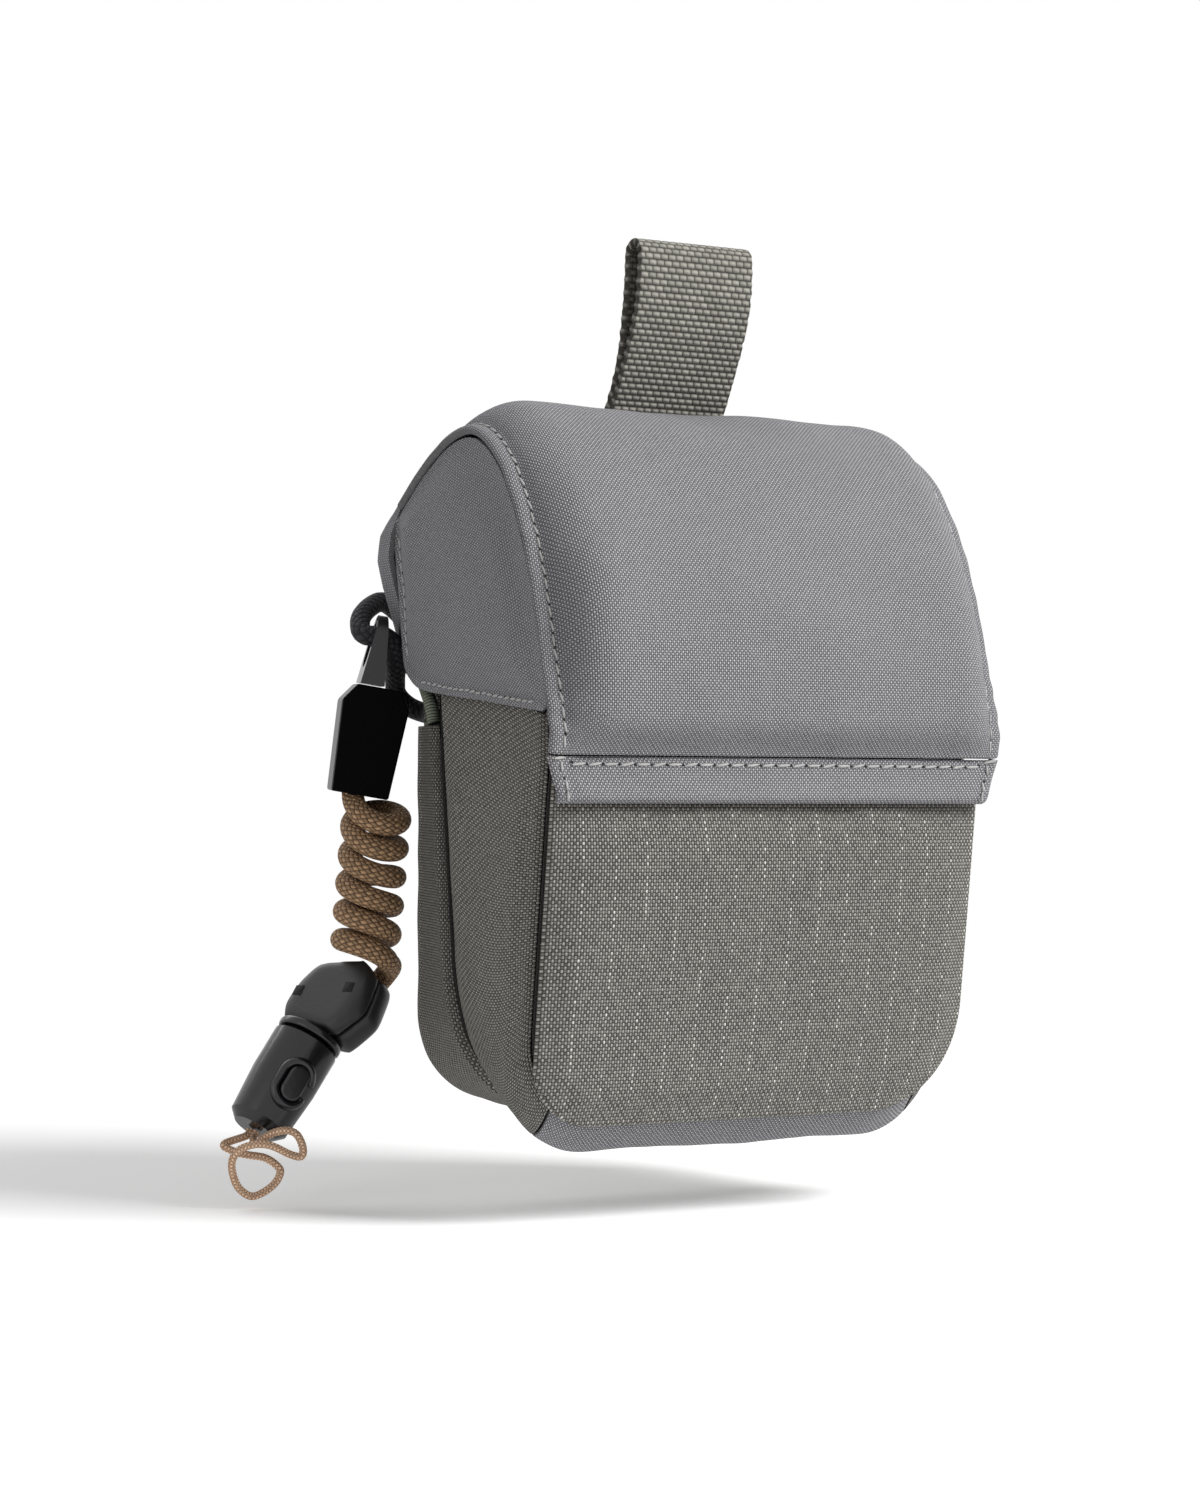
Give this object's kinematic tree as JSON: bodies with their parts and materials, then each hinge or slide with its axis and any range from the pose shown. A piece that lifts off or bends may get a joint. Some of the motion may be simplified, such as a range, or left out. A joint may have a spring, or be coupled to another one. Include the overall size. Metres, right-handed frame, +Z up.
{
  "type": "rangefinder pouch",
  "caption": "Padded belt pouch with a forward-opening magnetic lid, webbing pull tab and a coiled tether with a push-button swivel connector.",
  "frame": {"origin": "centre of the belt loop's outer face, where it lies against the belt", "axes": "+Z up, +Y from the front of the pouch towards the wearer, +X to the right seen from the front"},
  "size_m": [0.1339, 0.088, 0.1848],
  "materials": {
    "softshell": "matte softshell with a fine twill",
    "pack_cloth": "matte coated nylon pack cloth",
    "webbing": "ribbed nylon webbing",
    "lining": "smooth dark lining cloth",
    "binding": "dark seam binding",
    "foam": "closed-cell padding",
    "stiffener": "textured sheet",
    "magnet": "plated disc",
    "shock_cord": "woven cover over elastic",
    "anchor_cord": "braided cord",
    "satin_plastic": "satin moulded nylon",
    "gloss_plastic": "glossy moulded plastic",
    "coil_braid": "tight braided cover",
    "lanyard_braid": "thin braided cord"
  },
  "bodies": {
    "root": {"front_panel": "pack_cloth", "front_foam": "foam", "front_lining": "lining", "gusset_left": "pack_cloth", "gusset_right": "pack_cloth", "bottom_panel": "softshell", "side_foam": "foam", "side_lining": "lining", "rear_side_panel": "pack_cloth", "back_panel": "pack_cloth", "back_foam": "foam", "back_stiffener": "stiffener", "back_lining": "lining", "body_magnet_left": "magnet", "body_magnet_right": "magnet", "back_binding": "binding", "front_piping": "binding", "rear_piping": "binding", "rim_binding_left": "binding", "rim_binding_right": "binding", "lid_hem": "softshell", "belt_loop": "webbing", "anchor_tab": "webbing", "tether_anchor_cord": "anchor_cord", "shock_cord_left": "shock_cord", "shock_cord_right": "shock_cord"},
    "lid": {"lid_main_panel": "softshell", "lid_foam": "foam", "lid_lining": "lining", "lid_wing_left": "softshell", "lid_wing_right": "softshell", "lid_rear_flap": "softshell", "flap_foam": "foam", "flap_lining": "lining", "lid_magnet_left": "magnet", "lid_magnet_right": "magnet"},
    "pull_tab": {"pull_tab": "webbing"},
    "tether": {"clip_stem": "satin_plastic", "clip_cover": "satin_plastic", "cord_knot": "coil_braid", "coil_cord": "coil_braid", "connector_front_shell": "satin_plastic", "connector_rear_shell": "satin_plastic"},
    "swivel": {"swivel_post": "gloss_plastic"},
    "barrel": {"release_barrel": "gloss_plastic", "lanyard_loop": "lanyard_braid"},
    "button": {"release_button": "gloss_plastic"}
  },
  "joints": [
    {"name": "lid_hinge", "type": "hinge", "parent": "root", "child": "lid", "pos_m": [0, -0.0767, 0.015], "axis": [1, 0, 0], "range_deg": [0, 120]},
    {"name": "pull_tab_bend", "type": "hinge", "parent": "lid", "child": "pull_tab", "pos_m": [0, -0.03195, 0.0816], "axis": [1, 0, 0], "range_deg": [-20, 25], "stiffness_Nm_per_rad": 0.05},
    {"name": "tether_swing", "type": "hinge", "parent": "root", "child": "tether", "pos_m": [-0.0515, -0.0067, 0.04], "axis": [0.8788, -0.4772, 0], "range_deg": [-30, 5]},
    {"name": "barrel_swivel", "type": "hinge", "parent": "tether", "child": "swivel", "pos_m": [-0.06478, -0.00518, -0.0393], "axis": [-0.5955, -0.1395, -0.7912], "continuous": true},
    {"name": "barrel_pull", "type": "slide", "parent": "swivel", "child": "barrel", "axis": [-0.5955, -0.1395, -0.7912], "range_m": [0, 0.016]},
    {"name": "button_press", "type": "slide", "parent": "barrel", "child": "button", "axis": [-0.0326, 0.9882, -0.1497], "range_m": [0, 0.0015], "stiffness_N_per_m": 300}
  ]
}
